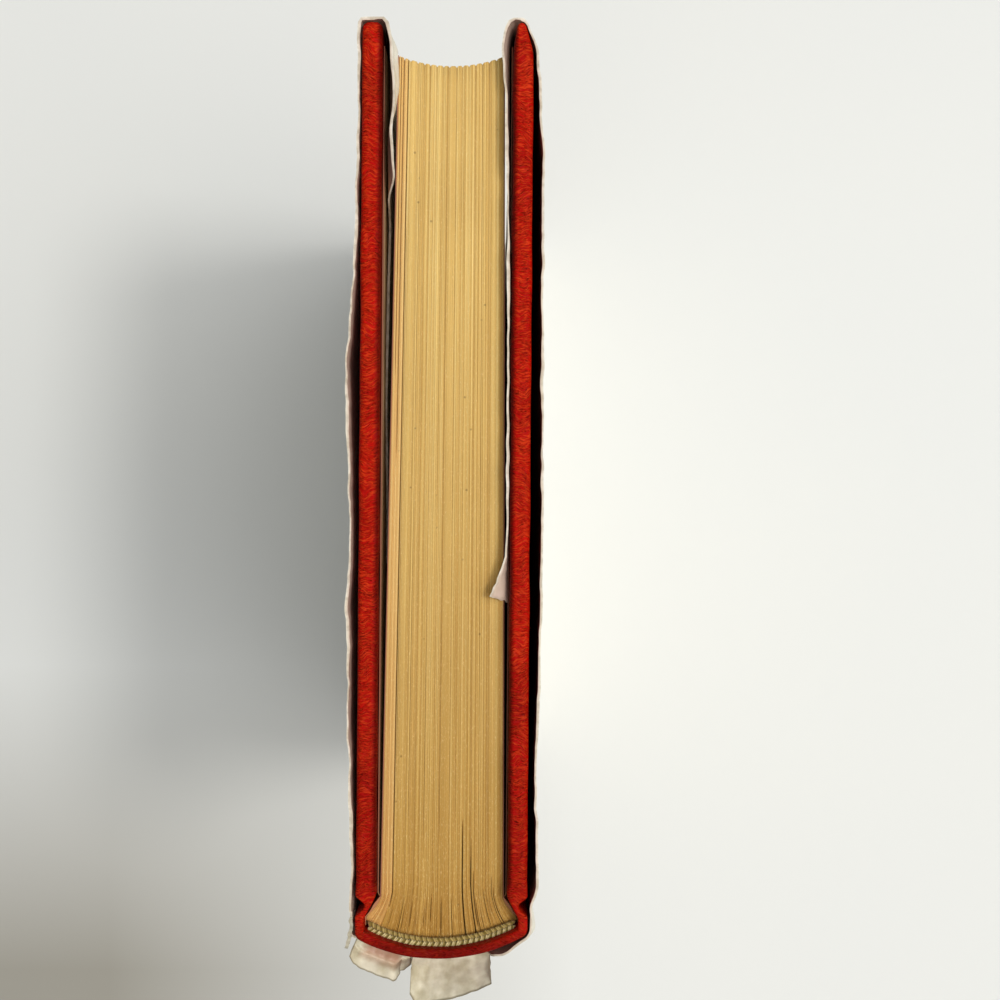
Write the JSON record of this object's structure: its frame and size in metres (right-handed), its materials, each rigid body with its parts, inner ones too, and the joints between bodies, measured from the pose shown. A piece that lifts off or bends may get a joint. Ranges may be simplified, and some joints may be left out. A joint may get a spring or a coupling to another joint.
{
  "type": "hardback book",
  "caption": "Old hardback book standing on its tail: sewn leaves, rounded spine, striped headband, leather-grained covers that open and a torn paper jacket.",
  "frame": {"origin": "middle of the ground that the standing book covers, on the surface it stands on", "axes": "+Z from tail to head, +Y from the spine to the fore edge, +X towards the front cover"},
  "size_m": [0.0301, 0.1482, 0.21],
  "materials": {
    "leaves": "matte",
    "thread": "matte",
    "headband": "matte",
    "gauze": "matte",
    "lining": "matte",
    "card": "matte",
    "cover_cloth": "satin",
    "cover_board": "matte",
    "endpaper": "matte",
    "jacket": "satin"
  },
  "bodies": {
    "text_block": {"text_block": "leaves", "sewing_threads": "thread", "headband": "headband", "tailband": "headband", "spine_gauze": "gauze", "spine_liner": "lining", "spine_inlay": "card", "spine_cloth": "cover_cloth", "spine_jacket": "jacket", "front_flyleaf": "endpaper", "back_flyleaf": "endpaper"},
    "front_cover": {"front_board": "cover_board", "front_cloth": "cover_cloth", "front_gauze": "gauze", "front_pastedown": "endpaper", "front_jacket": "jacket"},
    "back_cover": {"back_board": "cover_board", "back_cloth": "cover_cloth", "back_gauze": "gauze", "back_pastedown": "endpaper", "back_jacket": "jacket"}
  },
  "joints": [
    {"name": "front_cover_hinge", "type": "hinge", "parent": "text_block", "child": "front_cover", "pos_m": [0.0137, -0.05865, 0.105], "axis": [0, 0, -1], "range_deg": [0, 170]},
    {"name": "back_cover_hinge", "type": "hinge", "parent": "text_block", "child": "back_cover", "pos_m": [-0.0137, -0.05865, 0.105], "axis": [0, 0, 1], "range_deg": [0, 170]}
  ]
}
